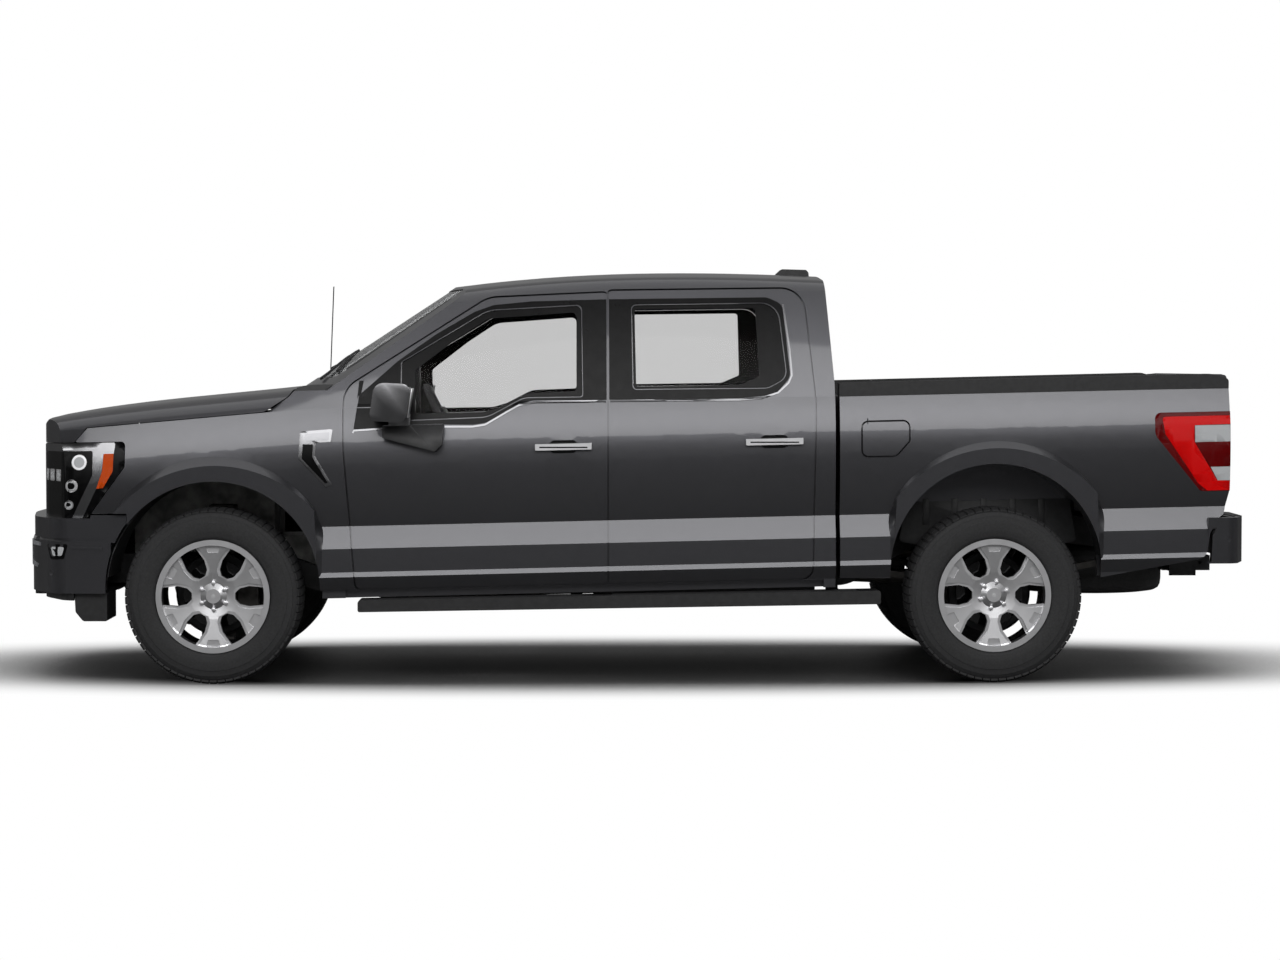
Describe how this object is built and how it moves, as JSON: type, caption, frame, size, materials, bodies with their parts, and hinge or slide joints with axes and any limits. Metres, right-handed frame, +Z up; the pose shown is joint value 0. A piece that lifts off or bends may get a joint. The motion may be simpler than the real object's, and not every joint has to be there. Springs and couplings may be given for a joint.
{
  "type": "pickup truck",
  "caption": "crew cab pickup truck with short load bed, spoked wheels, opening doors, hood, tailgate and fuel door, steered front wheels",
  "frame": {"origin": "centre of the bounding box at ground level", "axes": "+X towards the rear of the truck, +Y towards its right side, +Z up"},
  "size_m": [5.885, 2.41, 1.9864],
  "materials": {
    "black_plastic": "satin",
    "body_paint": "dark grey metallic gloss",
    "glass": "tinted clear",
    "dark_trim": "grained",
    "aluminium": "cast satin",
    "steel": "satin",
    "cloth": "woven",
    "cast": "matte",
    "chrome": "polished",
    "lamp_clear": "clear",
    "frame_steel": "black coated satin",
    "wheel_alloy": "polished",
    "tyre": "satin",
    "lamp_red": "gloss"
  },
  "bodies": {
    "chassis": {"aerials": "black_plastic", "air_dam": "black_plastic", "bed_box": "body_paint", "bed_rail_caps": "black_plastic", "bedside_left": "body_paint", "bedside_right": "body_paint", "cab_glass": "glass", "cab_shell": "body_paint", "cowl": "black_plastic", "dashboard": "dark_trim", "engine": "aluminium", "exhaust": "steel", "fenders": "body_paint", "front_bumper": "body_paint", "front_seats": "cloth", "front_suspension": "cast", "fuel_tank": "black_plastic", "grille": "chrome", "headlamps": "lamp_clear", "hitch_receiver": "frame_steel", "ladder_frame": "frame_steel", "radiator": "aluminium", "rear_axle": "cast", "rear_bumper": "body_paint", "rear_seat": "cloth", "running_boards": "black_plastic", "spare_wheel": "tyre", "tail_lamps": "lamp_red", "tow_hooks": "frame_steel", "wheel_liners": "black_plastic"},
    "door_front_left": {"door_front_left": "body_paint", "glass_front_left": "glass", "handle_front_left": "chrome", "mirror_left": "chrome"},
    "door_front_right": {"door_front_right": "body_paint", "glass_front_right": "glass", "handle_front_right": "chrome", "mirror_right": "chrome"},
    "door_rear_left": {"door_rear_left": "body_paint", "glass_rear_left": "glass", "handle_rear_left": "chrome"},
    "door_rear_right": {"door_rear_right": "body_paint", "glass_rear_right": "glass", "handle_rear_right": "chrome"},
    "hood": {"hood": "body_paint"},
    "tailgate": {"tailgate": "body_paint"},
    "fuel_door": {"fuel_door": "body_paint"},
    "knuckle_left": {"knuckle_left": "cast"},
    "knuckle_right": {"knuckle_right": "cast"},
    "wheel_front_left": {"tyre_front_left": "tyre", "rim_front_left": "wheel_alloy"},
    "wheel_front_right": {"tyre_front_right": "tyre", "rim_front_right": "wheel_alloy"},
    "wheel_rear_left": {"tyre_rear_left": "tyre", "rim_rear_left": "wheel_alloy"},
    "wheel_rear_right": {"tyre_rear_right": "tyre", "rim_rear_right": "wheel_alloy"},
    "steering_wheel": {"steering_wheel": "dark_trim"}
  },
  "joints": [
    {"name": "wheel_front_left_spin", "type": "hinge", "parent": "knuckle_left", "child": "wheel_front_left", "pos_m": [-1.9825, -0.8585, 0.416], "axis": [0, 1, 0], "continuous": true},
    {"name": "wheel_front_right_spin", "type": "hinge", "parent": "knuckle_right", "child": "wheel_front_right", "pos_m": [-1.9825, 0.8585, 0.416], "axis": [0, 1, 0], "continuous": true},
    {"name": "wheel_rear_left_spin", "type": "hinge", "parent": "chassis", "child": "wheel_rear_left", "pos_m": [1.7105, -0.8585, 0.416], "axis": [0, 1, 0], "continuous": true},
    {"name": "wheel_rear_right_spin", "type": "hinge", "parent": "chassis", "child": "wheel_rear_right", "pos_m": [1.7105, 0.8585, 0.416], "axis": [0, 1, 0], "continuous": true},
    {"name": "steer_left", "type": "hinge", "parent": "chassis", "child": "knuckle_left", "pos_m": [-1.9825, -0.78, 0.416], "axis": [0, 0, 1], "range_deg": [-30, 30]},
    {"name": "steer_right", "type": "hinge", "parent": "chassis", "child": "knuckle_right", "pos_m": [-1.9825, 0.78, 0.416], "axis": [0, 0, 1], "range_deg": [-30, 30]},
    {"name": "steering_wheel_turn", "type": "hinge", "parent": "chassis", "child": "steering_wheel", "pos_m": [-0.922, -0.44, 1.239], "axis": [0.9022, 0, 0.4313], "range_deg": [-480, 480]},
    {"name": "door_front_left_open", "type": "hinge", "parent": "chassis", "child": "door_front_left", "pos_m": [-1.3705, -1.006, 1], "axis": [0, 0, -1], "range_deg": [0, 65]},
    {"name": "door_front_right_open", "type": "hinge", "parent": "chassis", "child": "door_front_right", "pos_m": [-1.3705, 1.006, 1], "axis": [0, 0, 1], "range_deg": [0, 65]},
    {"name": "door_rear_left_open", "type": "hinge", "parent": "chassis", "child": "door_rear_left", "pos_m": [-0.12, -1.006, 1], "axis": [0, 0, -1], "range_deg": [0, 65]},
    {"name": "door_rear_right_open", "type": "hinge", "parent": "chassis", "child": "door_rear_right", "pos_m": [-0.12, 1.006, 1], "axis": [0, 0, 1], "range_deg": [0, 65]},
    {"name": "hood_open", "type": "hinge", "parent": "chassis", "child": "hood", "pos_m": [-1.604, 0, 1.4], "axis": [0, 1, 0], "range_deg": [0, 42]},
    {"name": "tailgate_open", "type": "hinge", "parent": "chassis", "child": "tailgate", "pos_m": [2.786, 0, 0.87], "axis": [0, 1, 0], "range_deg": [0, 88]},
    {"name": "fuel_door_open", "type": "hinge", "parent": "chassis", "child": "fuel_door", "pos_m": [1.107, -0.97007, 1.15], "axis": [0, 0, -1], "range_deg": [0, 85]}
  ],
  "couplings": [
    {"joint": "steer_right", "follows": "steer_left", "ratio": 1},
    {"joint": "steering_wheel_turn", "follows": "steer_left", "ratio": 15}
  ]
}
